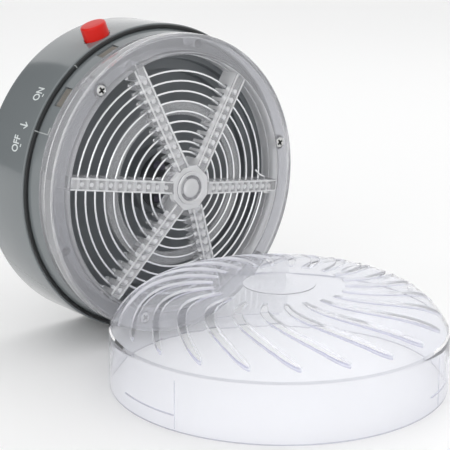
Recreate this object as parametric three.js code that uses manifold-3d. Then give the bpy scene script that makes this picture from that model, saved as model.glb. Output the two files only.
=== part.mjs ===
import * as THREE from 'three';
import { mergeVertices } from 'three/addons/utils/BufferGeometryUtils.js';
import Module from 'manifold-3d';

// Round insect zapper standing on its barrel, with its clear slotted cover lying in front of it.
// The unit is modelled on its own axis: z = 0 is the front face of the clear frame, +z points
// out of the front, +y is up and angles run anticlockwise from +x as seen from the front.

// Driving sizes, in millimetres
const bodyRadius = 80;
const bodyDepth = 36.5;
const wall = 2.5;
const fit = 0.3;
const over = 1;
const ringSegments = 54;
const baseSegments = 42;
const roundSegments = 12;
const degree = Math.PI / 180;
const fullTurn = 360;

// Clear frame
const frameDepth = 11.5;
const frameInset = 3.3;
const flangeWidth = 10.7;
const frameTaper = 0.6;
const frameWall = 2.2;
const frameInnerWall = 2;
const innerDrop = 0.5;
const innerStepDepth = 6;
const innerStep = 0.4;
const lipRise = 0.7;
const edgeChamfer = 0.8;
const grooveHalf = 0.3;

// Hub and spokes
const spokeCount = 6;
const spokeTurnAngle = -8.5;
const spokeWidth = 6.5;
const spokeStartRadius = 4;
const hubRadius = 12;
const hubSides = 8;
const hubFront = 9.5;
const hubThickness = 3;
const bossRadius = 8.5;
const bossTop = 11.2;
const bossRound = 2;
const midRingInner = 35.5;
const midRingOuter = 42.5;
const midRingFront = -3;
const midRingThickness = 2;

// Grid wires: two spirals wound into each other on a shallow cone
const wireRadius = 0.6;
const wireSides = 6;
const wireSteps = 24;
const wireEdgeGap = 4.1;
const wireHubGap = 1.43;
const wireRimZ = -3.1;
const wireRiseShare = 0.169;
const wireAEndShare = 4 / 6;
const wireALeadAngle = 5;
const wireATurns = 29 / 6;
const wireBEndShare = 1;
const wireBTurns = 28 / 6;

// Collar, seal and screws
const collarLength = 8.5;
const collarStep = 4;
const sealWidth = 3;
const sealThickness = 2.9;
const screwOffset = 1.55;
const screwAngles = [11, 131, 251];
const pinAngles = [79, 199, 319];
const pinOffset = 0.45;
const pinRadius = 2.2;
const postRadius = 4.2;
const postRib = 1.6;
const shankRadius = 1.5;
const headRadius = 2.8;
const headHeight = 1.7;
const headSink = 0.2;
const screwReach = 9;

// Dark base behind the grid
const baseFlange = 2.2;
const trayWall = 2;
const ledgeDrop = 4;
const ledgeWidth = 6;
const floorDrop = 9;
const pedestalRadius = 18;
const pedestalRise = 7;

// Back of the housing
const backThickness = 2.5;
const seatWidth = 3;
const seatDepth = 2;
const backChamfer = 1.5;
const rimChamfer = 0.6;
const footCut = 0.6;

// Push button
const buttonAngle = 111;
const buttonRadius = 6.6;
const buttonRise = 7;
const buttonBehindRim = 2;
const buttonLug = 1.8;
const buttonLugLength = 8;
const buttonLugHeight = 1.5;
const buttonKey = 1.1;
const buttonKeyWidth = 2.6;
const buttonTravel = 2.2;
const buttonRound = 0.9;

// Cover
const coverClearance = 1.8;
const coverWall = 2.2;
const coverWallHeight = 26.8;
const coverHeight = 46.7;
const coverDiscRadius = 17.1;
const coverDiscRise = 0.8;
const coverSegments = 66;
const coverGap = 1;
const coverAside = -3.6;
const slotCount = 22;
const slotDiscGap = 9.9;
const slotEdgeGap = 7;
const slotInnerWidth = 1.6;
const slotOuterWidth = 6.4;
const slotSweepAngle = 34;
const slotSteps = 6;
const tabCount = 3;
const tabHeight = 8;
const tabThickness = 2;
const tabReach = 0.8;
const tabSpanAngle = 20;

// Inner pieces
const boardThickness = 1.6;
const boardMargin = 1;
const boardHeight = 52;
const boardSetback = 8.5;
const standoffRadius = 3;
const standoffInsetX = 8;
const standoffInsetY = 6;
const ledBoardRadius = 15;
const ledCircle = 10;
const ledCount = 6;
const ledRadius = 2.5;
const ledHeight = 6;
const cellRadius = 9.1;
const cellLength = 65;
const cellEdgeGap = 9.2;
const holderWall = 1.5;
const transformerSize = { x: 24, y: 20, z: 15 };
const transformerInset = 26;
const capacitorSize = { x: 6, y: 14, z: 10 };
const capacitorCount = 3;
const capacitorPitch = 8;
const capacitorX = 4;
const socketSize = { x: 7.4, y: 9, z: 3.2 };
const socketWall = 0.6;
const tongueMargin = 1.5;
const switchSize = { x: 12, y: 7, z: 8 };
const plungerSize = { x: 4, y: 3 };
const terminalThickness = 1;
const terminalFoot = 2;
const terminalHeight = 2.2;
const recessDepth = 1;
const recessAngles = [115, 140];
const recessSpan = 11;
const recessWidth = 5;

// Radii and places that follow from the sizes
const collarRadius = bodyRadius - collarStep;
const sealRadius = collarRadius + fit + sealThickness;
const frameRadius = bodyRadius - frameInset;
const frameInnerRadius = frameRadius - flangeWidth;
const frameInnerDepth = frameDepth + innerDrop;
const spokeDepth = frameInnerDepth;
const flangeMiddle = (frameRadius + frameInnerRadius) / 2;
const screwCircle = flangeMiddle - screwOffset;
const pinCircle = flangeMiddle + pinOffset;
const coverRadius = collarRadius + coverClearance + coverWall;
const slotInner = coverDiscRadius + slotDiscGap;
const slotOuter = coverRadius - slotEdgeGap;
const collarZ = -(frameDepth + fit);
const rimZ = collarZ - collarLength;
const backZ = rimZ - bodyDepth;
const collarInner = collarRadius - wall;
const barrelInner = bodyRadius - wall;
const axisHeight = bodyRadius - footCut;
const baseFrontZ = -(frameInnerDepth + fit);
const baseBackZ = baseFrontZ - baseFlange;
const postFrontZ = baseBackZ - fit;
const backInnerZ = backZ + backThickness;
const seatZ = backInnerZ + fit;
const trayOuter = screwCircle - postRadius - 2 * fit;
const trayInner = trayOuter - trayWall;
const ledgeRadius = trayInner - ledgeWidth;
const ledgeZ = baseFrontZ - ledgeDrop;
const floorZ = baseFrontZ - floorDrop;
const floorBackZ = floorZ - trayWall;
const pedestalZ = floorZ + pedestalRise;
const boardFrontZ = floorBackZ - boardSetback;
const boardBackZ = boardFrontZ - boardThickness;
const boardWidth = 2 * (ledgeRadius - boardMargin);
const standoffX = boardWidth / 2 - standoffInsetX;
const standoffY = boardHeight / 2 - standoffInsetY;
const transformerX = transformerInset - boardWidth / 2;
const buttonZ = rimZ - buttonBehindRim - buttonRadius;
const screwBore = shankRadius + fit;
const headBore = headRadius + fit;
const headSeat = headHeight + headSink + fit;
const wireAEndAngle = spokeTurnAngle + wireAEndShare * fullTurn;
const wireBEndAngle = spokeTurnAngle + wireBEndShare * fullTurn;
const wireEndRadius = frameInnerRadius - wireEdgeGap;
const wireEndTurns = wireATurns + wireALeadAngle / fullTurn;
const wirePitch = (wireEndRadius - hubRadius - wireHubGap) / (2 * wireEndTurns);
const wireTopRadius = wireEndRadius - 2 * wirePitch * (wireAEndAngle + wireALeadAngle - 90) / fullTurn;

const wasm = await Module();
wasm.setup();

// Turns a closed three.js geometry into a solid that can be joined and cut.
function solid(geometry) {
  const plain = geometry.index ? geometry.clone() : geometry;
  plain.deleteAttribute('normal');
  plain.deleteAttribute('uv');
  const merged = mergeVertices(plain);
  return new wasm.Manifold(new wasm.Mesh({
    numProp: 3,
    vertProperties: new Float32Array(merged.attributes.position.array),
    triVerts: new Uint32Array(merged.index.array),
  }));
}

// Gives a solid back as a three.js geometry.
function geometryOf(body) {
  const mesh = body.getMesh();
  const geometry = new THREE.BufferGeometry();
  geometry.setAttribute('position', new THREE.BufferAttribute(new Float32Array(mesh.vertProperties), 3));
  geometry.setIndex(new THREE.BufferAttribute(new Uint32Array(mesh.triVerts), 1));
  geometry.computeVertexNormals();
  return geometry;
}

// A solid of revolution about z. The profile is a closed outline of [radius, z] points.
function turned(profile, segments = ringSegments) {
  const area = profile.reduce((sum, point, i) => {
    const next = profile[(i + 1) % profile.length];
    return sum + point[0] * next[1] - next[0] * point[1];
  }, 0);
  const outline = area > 0 ? profile : [...profile].reverse();
  const points = [...outline, outline[0]].map(([radius, z]) => new THREE.Vector2(radius, z));
  return solid(new THREE.LatheGeometry(points, segments).rotateX(Math.PI / 2));
}

// A straight round bar along z between two heights.
function bar(radius, fromZ, toZ, segments = roundSegments) {
  const geometry = new THREE.CylinderGeometry(radius, radius, toZ - fromZ, segments);
  return solid(geometry.rotateX(Math.PI / 2).translate(0, 0, (fromZ + toZ) / 2));
}

// A box given by its two corners.
function block(low, high) {
  const size = high.map((value, i) => value - low[i]);
  const middle = high.map((value, i) => (value + low[i]) / 2);
  return solid(new THREE.BoxGeometry(...size).translate(...middle));
}

// A flat outline of [x, y] points pulled up along z.
function pulled(outline, depth) {
  const shape = new THREE.Shape(outline.map(([x, y]) => new THREE.Vector2(x, y)));
  return solid(new THREE.ExtrudeGeometry(shape, { depth, bevelEnabled: false }));
}

// An outline of [radius, z] points made into a plate of the given width that stands on the axis.
function plate(outline, width) {
  return pulled(outline, width).translate([0, 0, -width / 2]).rotate([90, 0, 0]);
}

const turn = (body, degrees) => body.rotate([0, 0, degrees]);
const atPolar = (body, radius, degrees) => turn(body.translate([radius, 0, 0]), degrees);
const join = (bodies) => bodies.reduce((sum, body) => sum.add(body));
const cut = (body, tools) => tools.reduce((left, tool) => left.subtract(tool), body);

const unit = new THREE.Group();
unit.rotation.x = Math.PI / 2;
unit.position.z = axisHeight;
const model = new THREE.Group();
model.add(unit);

function piece(parent, name, body, look) {
  const material = new THREE.MeshStandardMaterial(look);
  const mesh = new THREE.Mesh(geometryOf(body), material);
  mesh.name = name;
  parent.add(mesh);
}

const greyPlastic = { color: 0x868e90, roughness: 0.45, metalness: 0 };
const darkPlastic = { color: 0x2c3032, roughness: 0.55, metalness: 0 };
const blackRubber = { color: 0x1b1d1e, roughness: 0.7, metalness: 0 };
const clearPlastic = { color: 0xdfe3e6, roughness: 0.08, metalness: 0, transparent: true, opacity: 0.4 };
const redPlastic = { color: 0xd8301c, roughness: 0.35, metalness: 0 };
const steel = { color: 0xd5d8da, roughness: 0.22, metalness: 1 };
const brass = { color: 0xc9a552, roughness: 0.3, metalness: 1 };
const boardGreen = { color: 0x2f6b45, roughness: 0.5, metalness: 0 };
const cellBlue = { color: 0x2e62a8, roughness: 0.4, metalness: 0 };
const ferriteBlack = { color: 0x3a3a3d, roughness: 0.6, metalness: 0 };
const blueCoat = { color: 0x2a5db0, roughness: 0.4, metalness: 0 };
const ledPurple = { color: 0xb9a4ea, roughness: 0.1, metalness: 0 };
const whitePlastic = { color: 0xe8e8e4, roughness: 0.5, metalness: 0 };

// Wire paths. The radius grows by two pitches a turn, because two wires share the cone.
const wireRadiusAt = (startRadius, degrees) => startRadius + 2 * wirePitch * (degrees - 90) / fullTurn;
const wireZAt = (radius) => wireRimZ + wireRiseShare * (wireTopRadius - radius);
const wireStartA = wireTopRadius;
const wireStartB = wireTopRadius - wirePitch;

function polarPoint(radius, degrees, z) {
  return new THREE.Vector3(radius * Math.cos(degrees * degree), radius * Math.sin(degrees * degree), z);
}

function spiralPath(startRadius, endAngle, turns) {
  const stepAngle = fullTurn / wireSteps;
  const steps = Math.round(turns * wireSteps);
  return Array.from({ length: steps + 1 }, (_, i) => {
    const angle = endAngle - turns * fullTurn + i * stepAngle;
    const radius = wireRadiusAt(startRadius, angle);
    return polarPoint(radius, angle, wireZAt(radius));
  });
}

// A round wire swept along a list of points, with flat ends.
function wireBody(path) {
  const up = new THREE.Vector3(0, 0, 1);
  const positions = [];
  const indices = [];
  path.forEach((point, i) => {
    const before = path[Math.max(i - 1, 0)];
    const after = path[Math.min(i + 1, path.length - 1)];
    const along = after.clone().sub(before).normalize();
    const side = along.clone().cross(up).normalize();
    const top = side.clone().cross(along);
    for (let k = 0; k < wireSides; k++) {
      const angle = (2 * Math.PI * k) / wireSides;
      const corner = point.clone()
        .addScaledVector(side, wireRadius * Math.cos(angle))
        .addScaledVector(top, wireRadius * Math.sin(angle));
      positions.push(corner.x, corner.y, corner.z);
    }
  });
  for (let i = 0; i < path.length - 1; i++) {
    for (let k = 0; k < wireSides; k++) {
      const a = i * wireSides + k;
      const b = i * wireSides + ((k + 1) % wireSides);
      indices.push(a, a + wireSides, b, b, a + wireSides, b + wireSides);
    }
  }
  const last = (path.length - 1) * wireSides;
  for (let k = 1; k < wireSides - 1; k++) {
    indices.push(0, k, k + 1);
    indices.push(last, last + k + 1, last + k);
  }
  const geometry = new THREE.BufferGeometry();
  geometry.setAttribute('position', new THREE.BufferAttribute(new Float32Array(positions), 3));
  geometry.setIndex(indices);
  return solid(geometry);
}

// The least clear distance between two runs of wire, measured on points along them.
function leastGap(pathA, pathB, skip) {
  let least = Infinity;
  pathA.forEach((a, i) => {
    for (let j = 0; j < pathB.length - 1; j++) {
      if (skip && Math.abs(i - j) < skip) continue;
      const line = new THREE.Line3(pathB[j], pathB[j + 1]);
      const near = line.closestPointToPoint(a, true, new THREE.Vector3());
      least = Math.min(least, near.distanceTo(a));
    }
  });
  return least - 2 * wireRadius;
}

const wireA = spiralPath(wireStartA, wireAEndAngle, wireATurns);
const leadRadius = wireRadiusAt(wireStartA, wireAEndAngle + wireALeadAngle);
wireA.push(polarPoint(leadRadius, wireAEndAngle + wireALeadAngle, wireZAt(leadRadius)));

// The second wire's outer end turns back over the first wire and lies beside its own next turn.
const tailStartAngle = wireBEndAngle + 3;
const tailOverAngle = wireBEndAngle + 6;
const tailEndAngle = wireBEndAngle + 9;
const tailLift = 2 * wireRadius + 2 * fit;
const wireB = spiralPath(wireStartB, wireBEndAngle, wireBTurns);
const tailStartRadius = wireRadiusAt(wireStartB, tailStartAngle);
const overRadius = wireRadiusAt(wireStartA, tailOverAngle - fullTurn);
const tailEndRadius = wireRadiusAt(wireStartB, tailEndAngle - fullTurn) + 3 * wireRadius;
wireB.push(polarPoint(tailStartRadius, tailStartAngle, wireZAt(tailStartRadius)));
wireB.push(polarPoint((tailStartRadius + overRadius) / 2 + wireRadius, (tailStartAngle + tailOverAngle) / 2,
  wireZAt(overRadius) + tailLift));
wireB.push(polarPoint(overRadius - wireRadius, tailOverAngle, wireZAt(overRadius) + tailLift));
wireB.push(polarPoint(tailEndRadius, tailEndAngle, wireZAt(tailEndRadius) + wireRadius));

console.log('least gap of wire A to itself', leastGap(wireA, wireA, wireSteps / 4).toFixed(2));
console.log('least gap of wire B to itself', leastGap(wireB, wireB, wireSteps / 6).toFixed(2));
console.log('least gap between the wires', leastGap(wireB, wireA, 0).toFixed(2));

piece(unit, 'grid_wire_a', wireBody(wireA), steel);
piece(unit, 'grid_wire_b', wireBody(wireB), steel);

// Clear frame with its spokes, hub, bosses and middle ring
function spokeFrontAt(radius) {
  const share = Math.max(0, radius - hubRadius) / (frameInnerRadius - hubRadius);
  return hubFront * (1 - share);
}

function spoke(angle) {
  const end = frameInnerRadius + innerStep;
  const half = spokeWidth / 2;
  const bend = half * Math.tan(Math.PI / wireSteps);
  const crossings = [[wireStartA, wireAEndAngle, wireATurns], [wireStartB, wireBEndAngle, wireBTurns]].flatMap(
    ([startRadius, endAngle, turns]) => {
      const found = [];
      for (let at = angle + fullTurn; at >= endAngle - turns * fullTurn; at -= fullTurn) {
        if (at <= endAngle) found.push(wireRadiusAt(startRadius, at));
      }
      return found;
    }).sort((a, b) => a - b);
  const outline = [[spokeStartRadius, hubFront], [spokeStartRadius, hubFront - spokeDepth]];
  for (const radius of crossings) {
    const lean = half * 2 * wirePitch / (2 * Math.PI * radius);
    const low = radius - wireRadius - fit - bend - lean;
    const high = radius + wireRadius + fit + lean;
    const roof = wireZAt(radius) + wireRadius + fit;
    outline.push([low, spokeFrontAt(low) - spokeDepth], [low, roof]);
    outline.push([high, roof], [high, spokeFrontAt(high) - spokeDepth]);
  }
  outline.push([end, spokeFrontAt(end) - spokeDepth], [end, spokeFrontAt(end)], [hubRadius, hubFront]);
  return turn(plate(outline, spokeWidth), angle);
}

function clearFrame() {
  const middle = -frameDepth / 2;
  const shell = turned([
    [frameInnerRadius - innerStep, -frameInnerDepth],
    [frameInnerRadius + frameInnerWall, -frameInnerDepth],
    [frameInnerRadius + frameInnerWall, -frameWall],
    [frameRadius - frameWall, -frameWall],
    [frameRadius - frameWall, -frameDepth],
    [frameRadius - frameTaper, -frameDepth],
    [frameRadius, middle - grooveHalf],
    [frameRadius - grooveHalf, middle],
    [frameRadius, middle + grooveHalf],
    [frameRadius, -edgeChamfer],
    [frameRadius - edgeChamfer, 0],
    [frameInnerRadius + frameInnerWall / 2 + grooveHalf, 0],
    [frameInnerRadius + frameInnerWall / 2, lipRise],
    [frameInnerRadius + grooveHalf, lipRise],
    [frameInnerRadius, lipRise - grooveHalf],
    [frameInnerRadius, -innerStepDepth],
    [frameInnerRadius - innerStep, -innerStepDepth],
  ]);
  const bosses = screwAngles.map((angle) =>
    atPolar(bar(postRadius - fit, -frameDepth, -frameWall / 2), screwCircle, angle));
  const pins = pinAngles.map((angle) =>
    atPolar(bar(pinRadius, -frameDepth, -frameWall / 2), pinCircle, angle));
  const spokes = Array.from({ length: spokeCount }, (_, i) => spoke(spokeTurnAngle + i * fullTurn / spokeCount));
  const web = turn(bar(hubRadius, hubFront - hubThickness, hubFront, hubSides), 180 / hubSides);
  const boss = turned([
    [0, hubFront - spokeDepth],
    [bossRadius, hubFront - spokeDepth],
    [bossRadius, bossTop - bossRound / 2],
    [bossRadius - bossRound, bossTop],
    [0, bossTop],
  ], 2 * roundSegments);
  const middleRing = turned([
    [midRingInner, midRingFront - midRingThickness],
    [midRingOuter, midRingFront - midRingThickness],
    [midRingOuter, midRingFront],
    [midRingInner, midRingFront],
  ], baseSegments);
  const holes = screwAngles.flatMap((angle) => [
    atPolar(bar(screwBore, -frameInnerDepth - over, over), screwCircle, angle),
    atPolar(bar(headBore, -headSeat, over), screwCircle, angle),
  ]);
  return cut(join([shell, ...bosses, ...pins, ...spokes, web, boss, middleRing]), holes);
}

piece(unit, 'clear_frame', clearFrame(), clearPlastic);

// Frame screws, then the screws of the back
function screw(headTop, direction, reach) {
  const head = bar(headRadius, -headHeight, 0);
  const shank = bar(shankRadius, -reach, -headHeight / 2, roundSegments / 2);
  const upright = head.add(shank);
  const facing = direction > 0 ? upright : upright.rotate([180, 0, 0]);
  return facing.translate([0, 0, headTop]);
}

const frameScrewReach = screwReach - postFrontZ;
screwAngles.forEach((angle, i) => piece(unit, `frame_screw_${i + 1}`,
  atPolar(screw(-headSink, 1, frameScrewReach), screwCircle, angle), steel));

const backScrewReach = backThickness + screwReach;
screwAngles.forEach((angle, i) => piece(unit, `back_screw_${i + 1}`,
  atPolar(screw(backZ + headSink, -1, backScrewReach), screwCircle, angle), steel));

// Lays a body made along z on the button's own axis, which points outward along +x.
const alongButton = (body) => body.rotate([0, 90, 0]).translate([0, 0, buttonZ]);

// Housing barrel with the collar that carries the frame and the cover
function housing() {
  const shell = turned([
    [bodyRadius - backChamfer, backZ],
    [bodyRadius, backZ + backChamfer],
    [bodyRadius, rimZ - rimChamfer],
    [bodyRadius - rimChamfer, rimZ],
    [collarRadius, rimZ],
    [collarRadius, collarZ],
    [collarInner, collarZ],
    [collarInner, rimZ - wall],
    [barrelInner, rimZ - wall],
    [barrelInner, seatZ + seatDepth],
    [barrelInner - seatWidth, seatZ + seatDepth],
    [barrelInner - seatWidth, seatZ],
    [barrelInner, seatZ],
    [barrelInner, backZ],
  ]);
  const posts = screwAngles.flatMap((angle) => [
    atPolar(bar(postRadius, seatZ, postFrontZ), screwCircle, angle),
    turn(block([screwCircle, -postRib / 2, seatZ], [barrelInner + wall / 2, postRib / 2, rimZ - wall / 2]), angle),
  ]);
  const bores = screwAngles.flatMap((angle) => [
    atPolar(bar(screwBore, postFrontZ - screwReach - over, over), screwCircle, angle),
    atPolar(bar(screwBore, seatZ - over, seatZ + screwReach + over), screwCircle, angle),
  ]);
  const holeRadius = buttonRadius + fit;
  const keyReach = buttonRadius + buttonKey;
  const buttonHole = turn(alongButton(bar(holeRadius, barrelInner - 2 * wall, bodyRadius + over, 2 * roundSegments))
    .add(block([barrelInner - 2 * wall, -keyReach, buttonZ - buttonKeyWidth / 2],
      [bodyRadius + over, keyReach, buttonZ + buttonKeyWidth / 2])), buttonAngle);
  const socketHole = block([barrelInner - wall, -socketSize.y / 2 - fit, boardBackZ - fit - socketSize.z - fit],
    [bodyRadius + over, socketSize.y / 2 + fit, boardBackZ]);
  const recessMiddle = (rimZ + sealWidth + collarZ) / 2;
  const recesses = recessAngles.map((angle) => turn(block(
    [collarRadius - recessDepth, -recessSpan / 2, recessMiddle - recessWidth / 2],
    [bodyRadius, recessSpan / 2, recessMiddle + recessWidth / 2]), angle));
  const foot = block([-bodyRadius, -bodyRadius - over, backZ - over], [bodyRadius, -axisHeight, rimZ + over]);
  return cut(join([shell, ...posts]), [...bores, buttonHole, socketHole, ...recesses, foot]);
}

piece(unit, 'housing', housing(), greyPlastic);

// Soft seal round the collar, against the housing rim
const sealZ = rimZ + fit;
const sealRound = sealWidth / 4;
piece(unit, 'seal_ring', turned([
  [collarRadius + fit, sealZ],
  [sealRadius - sealRound, sealZ],
  [sealRadius, sealZ + sealRound],
  [sealRadius, sealZ + sealWidth - sealRound],
  [sealRadius - sealRound, sealZ + sealWidth],
  [collarRadius + fit, sealZ + sealWidth],
]), blackRubber);

// What the main board's four screws and standoffs share.
function boardCorners(make) {
  return [-1, 1].flatMap((x) => [-1, 1].map((y) => make(x * standoffX, y * standoffY)));
}

// Dark base: a tray with a ledge, a floor and a pedestal for the lamps
function reflectorBase() {
  const pedestalInner = pedestalRadius - trayWall;
  const tray = turned([
    [0, pedestalZ],
    [0, pedestalZ - trayWall],
    [pedestalInner, pedestalZ - trayWall],
    [pedestalInner, floorBackZ],
    [ledgeRadius + trayWall, floorBackZ],
    [ledgeRadius + trayWall, ledgeZ - trayWall],
    [trayOuter, ledgeZ - trayWall],
    [trayOuter, baseBackZ],
    [collarInner - fit, baseBackZ],
    [collarInner - fit, baseFrontZ],
    [trayInner, baseFrontZ],
    [trayInner, ledgeZ],
    [ledgeRadius, ledgeZ],
    [ledgeRadius, floorZ],
    [pedestalRadius, floorZ],
    [pedestalRadius, pedestalZ],
  ], baseSegments);
  const standoffs = boardCorners((x, y) =>
    bar(standoffRadius, boardFrontZ + fit, floorBackZ + trayWall / 2).translate([x, y, 0]));
  const pilots = boardCorners((x, y) =>
    bar(screwBore, boardFrontZ, floorBackZ, roundSegments / 2).translate([x, y, 0]));
  const holes = screwAngles.map((angle) =>
    atPolar(bar(screwBore, baseBackZ - over, baseFrontZ + over), screwCircle, angle));
  return cut(join([tray, ...standoffs]), [...pilots, ...holes]);
}

piece(unit, 'reflector_base', reflectorBase(), darkPlastic);

// Lamp board on the pedestal, with a ring of violet lamps
const ledBoardFront = pedestalZ + fit + boardThickness;
piece(unit, 'lamp_board', bar(ledBoardRadius, pedestalZ + fit, ledBoardFront, 2 * roundSegments), boardGreen);

function lamp() {
  const foot = ledBoardFront + fit;
  const shoulder = foot + ledHeight - ledRadius;
  return turned([
    [0, foot],
    [ledRadius, foot],
    [ledRadius, shoulder],
    [ledRadius * Math.cos(45 * degree), shoulder + ledRadius * Math.sin(45 * degree)],
    [0, foot + ledHeight],
  ], roundSegments / 2);
}

for (let i = 0; i < ledCount; i++) {
  piece(unit, `uv_lamp_${i + 1}`, atPolar(lamp(), ledCircle, i * fullTurn / ledCount), ledPurple);
}

// Terminals that stand on the base flange and meet the outer ends of the wires
function terminal(endRadius, angle) {
  const inner = endRadius + wireRadius + fit;
  const footOuter = frameInnerRadius - innerStep - fit;
  const top = wireZAt(endRadius) + wireRadius;
  const footInner = footOuter - terminalFoot;
  return turn(plate([
    [footInner, baseFrontZ + fit],
    [footOuter, baseFrontZ + fit],
    [footOuter, top],
    [Math.min(inner, footInner - fit), top],
    [Math.min(inner, footInner - fit), top - terminalHeight],
    [footInner, top - terminalHeight],
  ], terminalThickness), angle);
}

const besideSpoke = spokeWidth / 2 + fit + terminalThickness;
const terminalAngleA = wireAEndAngle + besideSpoke / frameInnerRadius / degree;
const terminalAngleB = wireBEndAngle - besideSpoke / frameInnerRadius / degree;
piece(unit, 'grid_terminal_a', terminal(leadRadius, terminalAngleA), brass);
piece(unit, 'grid_terminal_b', terminal(wireRadiusAt(wireStartB, wireBEndAngle), terminalAngleB), brass);

// Main board with its parts
const boardHoles = boardCorners((x, y) =>
  bar(screwBore, boardBackZ - over, boardFrontZ + over, roundSegments / 2).translate([x, y, 0]));
const boardEdge = barrelInner - wall;
const tongueHalf = socketSize.y / 2 + tongueMargin;
const socketTongue = block([boardWidth / 2 - over, -tongueHalf, boardBackZ], [boardEdge, tongueHalf, boardFrontZ]);
const boardPlate = block([-boardWidth / 2, -boardHeight / 2, boardBackZ],
  [boardWidth / 2, boardHeight / 2, boardFrontZ]);
piece(unit, 'main_board', cut(boardPlate.add(socketTongue), boardHoles), boardGreen);

boardCorners((x, y) => screw(boardBackZ - headHeight - fit, -1, headHeight + boardThickness + screwReach / 2)
  .translate([x, y, 0])).forEach((body, i) => piece(unit, `board_screw_${i + 1}`, body, steel));

const underBoard = boardBackZ - fit;
function boardPart(size, x, y) {
  return block([x - size.x / 2, y - size.y / 2, underBoard - size.z], [x + size.x / 2, y + size.y / 2, underBoard]);
}

piece(unit, 'hv_transformer', boardPart(transformerSize, transformerX, 0), ferriteBlack);
for (let i = 0; i < capacitorCount; i++) {
  piece(unit, `hv_capacitor_${i + 1}`, boardPart(capacitorSize, capacitorX + i * capacitorPitch, 0), blueCoat);
}

function chargeSocket() {
  const mouth = barrelInner - fit;
  const outer = block([mouth - socketSize.x, -socketSize.y / 2, underBoard - socketSize.z],
    [mouth, socketSize.y / 2, underBoard]);
  const inner = block([mouth - socketSize.x + socketWall, -socketSize.y / 2 + socketWall,
    underBoard - socketSize.z + socketWall], [mouth + over, socketSize.y / 2 - socketWall, underBoard - socketWall]);
  return outer.subtract(inner);
}

piece(unit, 'charge_socket', chargeSocket(), steel);

// Rechargeable cell in a cradle on the back cover
const cradleZ = backInnerZ + fit;
const cellZ = cradleZ + holderWall + fit + cellRadius;
const halfCell = cellLength / 2 + fit;
const cradleReach = Math.sqrt((barrelInner - seatWidth) ** 2 - (halfCell + holderWall) ** 2);
const cellDrop = cradleReach - cellEdgeGap - holderWall - fit - cellRadius;
function cradle() {
  const low = [-halfCell - holderWall, -cellDrop - cellRadius - fit - holderWall, cradleZ];
  const high = [halfCell + holderWall, -cellDrop + cellRadius + fit + holderWall, cellZ];
  const room = block([-halfCell, -cellDrop - cellRadius - fit, cradleZ + holderWall],
    [halfCell, -cellDrop + cellRadius + fit, cellZ + over]);
  return block(low, high).subtract(room);
}

piece(unit, 'cell_cradle', cradle(), darkPlastic);
const cell = solid(new THREE.CylinderGeometry(cellRadius, cellRadius, cellLength, roundSegments)
  .rotateZ(Math.PI / 2)).translate([0, -cellDrop, cellZ]);
piece(unit, 'battery_cell', cell, cellBlue);

// Back cover, recessed into the barrel
function backCover() {
  const disc = bar(barrelInner - fit, backZ, backInnerZ, ringSegments);
  const holes = screwAngles.flatMap((angle) => [
    atPolar(bar(screwBore, backZ - over, backInnerZ + over), screwCircle, angle),
    atPolar(bar(headBore, backZ - over, backZ + headSeat), screwCircle, angle),
  ]);
  return cut(disc, holes);
}

piece(unit, 'back_cover', backCover(), greyPlastic);

// Round push button in its opening, kept in by two lugs that catch behind the barrel's wall
const buttonOuter = bodyRadius + buttonRise;
const lugHalf = buttonRadius + buttonLug;
const lugTop = Math.sqrt(barrelInner ** 2 - lugHalf ** 2) - fit;
const lugBottom = lugTop - buttonLugHeight;
function buttonBody() {
  const cap = alongButton(turned([
    [0, lugBottom],
    [buttonRadius, lugBottom],
    [buttonRadius, buttonOuter - buttonRound],
    [buttonRadius - buttonRound / 3, buttonOuter - buttonRound / 3],
    [buttonRadius - buttonRound, buttonOuter],
    [0, buttonOuter],
  ], 2 * roundSegments));
  const lugs = block([lugBottom, -lugHalf, buttonZ - buttonLugLength / 2],
    [lugTop, lugHalf, buttonZ + buttonLugLength / 2]);
  return turn(cap.add(lugs), buttonAngle);
}

piece(unit, 'push_button', buttonBody(), redPlastic);

const plungerTop = lugBottom - fit;
const switchTop = plungerTop - buttonTravel - 2 * fit;
const plungerReach = wall;
piece(unit, 'switch_plunger', turn(block(
  [switchTop - plungerReach, -plungerSize.x / 2, buttonZ - plungerSize.y / 2],
  [plungerTop, plungerSize.x / 2, buttonZ + plungerSize.y / 2]), buttonAngle), whitePlastic);

function pushSwitch() {
  const body = block([switchTop - switchSize.z, -switchSize.x / 2, buttonZ - switchSize.y / 2],
    [switchTop, switchSize.x / 2, buttonZ + switchSize.y / 2]);
  const well = block(
    [switchTop - plungerReach - buttonTravel - fit, -plungerSize.x / 2 - fit, buttonZ - plungerSize.y / 2 - fit],
    [switchTop + over, plungerSize.x / 2 + fit, buttonZ + plungerSize.y / 2 + fit]);
  return turn(body.subtract(well), buttonAngle);
}

piece(unit, 'push_switch', pushSwitch(), ferriteBlack);

// Cover: a round wall and a low dome with swept slots, modelled on its own axis standing on z = 0
function domeHeightAt(radius) {
  const span = coverRadius ** 2 - coverDiscRadius ** 2;
  return coverHeight - (coverHeight - coverWallHeight) * (radius ** 2 - coverDiscRadius ** 2) / span;
}

function slotOutline() {
  const edge = (side) => Array.from({ length: slotSteps + 1 }, (_, i) => {
    const share = i / slotSteps;
    const radius = slotInner + (slotOuter - slotInner) * share;
    const half = (slotInnerWidth + (slotOuterWidth - slotInnerWidth) * Math.sin(share * Math.PI * 0.75)) / 2;
    const angle = slotSweepAngle * share ** 2 + side * half / radius / degree;
    return [radius * Math.cos(angle * degree), radius * Math.sin(angle * degree)];
  });
  return [...edge(-1), ...edge(1).reverse()];
}

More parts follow.
